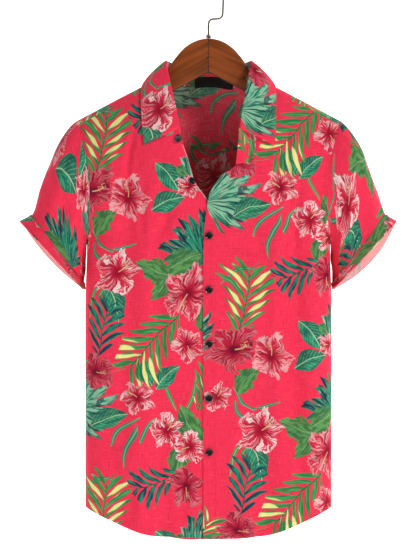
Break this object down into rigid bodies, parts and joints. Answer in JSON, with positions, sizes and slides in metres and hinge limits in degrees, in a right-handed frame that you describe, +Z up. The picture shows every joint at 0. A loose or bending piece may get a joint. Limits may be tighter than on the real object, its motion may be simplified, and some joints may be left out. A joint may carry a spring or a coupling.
{
  "type": "hawaiian shirt on a wooden hanger",
  "caption": "Short-sleeved button-front shirt with a turned-down collar and turned-up cuffs, hanging on a flat wooden hanger with a wire hook.",
  "frame": {"origin": "inside top of the hook, where a rail carries the hanger", "axes": "+Z up, the front faces -Y, +X towards the wearer's left"},
  "size_m": [0.598, 0.142, 0.8962],
  "materials": {
    "printed_cloth": "slub-weave cotton, coral red with a tropical print",
    "black_label": "plain woven black",
    "black_button": "glossy black",
    "varnished_wood": "satin varnish over brown wood",
    "nickel_wire": "pale nickel plate"
  },
  "bodies": {
    "root": {"front_left": "printed_cloth", "front_right": "printed_cloth", "back": "printed_cloth", "yoke": "printed_cloth", "collar_stand": "printed_cloth", "collar_leaf": "printed_cloth", "sleeve_left": "printed_cloth", "sleeve_right": "printed_cloth", "cuff_left": "printed_cloth", "cuff_right": "printed_cloth", "label": "black_label", "button_1": "black_button", "button_2": "black_button", "button_3": "black_button", "button_4": "black_button", "button_5": "black_button", "button_6": "black_button", "button_7": "black_button", "hanger_left": "varnished_wood", "hanger_right": "varnished_wood", "hanger_ferrule": "nickel_wire", "hanger_hook": "nickel_wire"}
  },
  "joints": []
}
